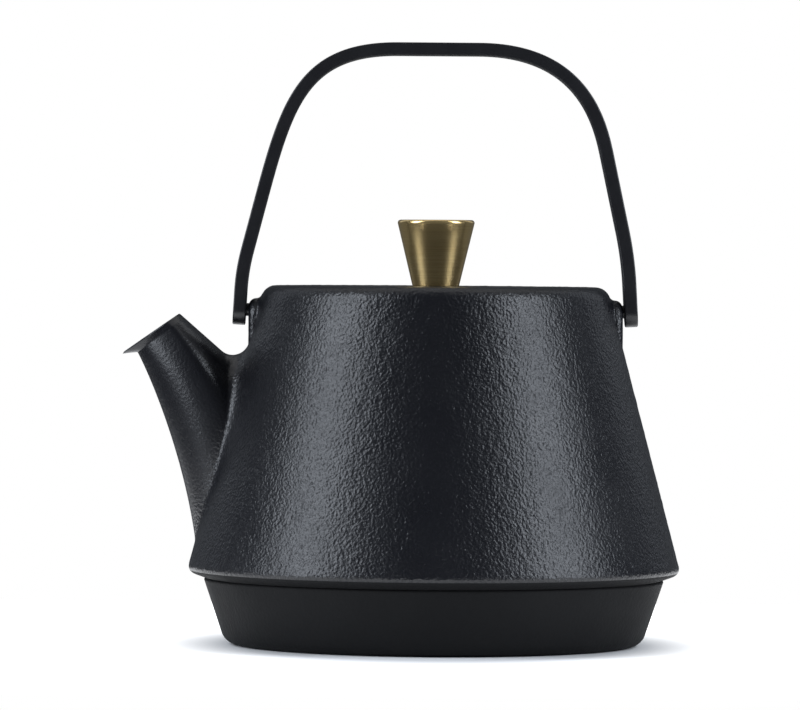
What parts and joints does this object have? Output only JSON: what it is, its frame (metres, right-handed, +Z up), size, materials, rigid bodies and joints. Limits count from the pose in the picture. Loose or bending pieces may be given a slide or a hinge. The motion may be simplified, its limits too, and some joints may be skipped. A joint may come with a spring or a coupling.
{
  "type": "teapot",
  "caption": "Conical cast-iron teapot with a short spout, a flat bail handle, a flush lid with a turned brass knob and a lift-out steel infuser.",
  "frame": {"origin": "centre of the flat underside, on the pot's axis", "axes": "+Z up along the pot's axis, -X towards the spout, handle pivots along X, Y across the spout"},
  "size_m": [0.1882, 0.1654, 0.2031],
  "materials": {
    "black_iron": "semi-gloss black enamel over a pebbled casting",
    "black_strap": "smooth satin black",
    "aged_brass": "fine turned lines, aged",
    "stainless": "brushed"
  },
  "bodies": {
    "pot": {"pot_body": "black_iron"},
    "handle": {"handle_bar": "black_strap", "front_pivot_peg": "black_strap", "rear_pivot_peg": "black_strap"},
    "infuser": {"infuser_rim": "stainless", "infuser_wall": "stainless", "infuser_floor": "stainless"},
    "lid_assembly": {"lid": "black_iron", "lid_knob": "aged_brass", "knob_screw": "stainless", "knob_washer": "stainless"}
  },
  "joints": [
    {"name": "handle_swing", "type": "hinge", "parent": "pot", "child": "handle", "pos_m": [0, 0, 0.1127], "axis": [1, 0, 0], "range_deg": [-108, 108]},
    {"name": "infuser_lift", "type": "slide", "parent": "pot", "child": "infuser", "axis": [0, 0, 1], "range_m": [0, 0.052]},
    {"name": "lid_lift", "type": "slide", "parent": "infuser", "child": "lid_assembly", "axis": [0, 0, 1], "range_m": [0, 0.05]}
  ]
}
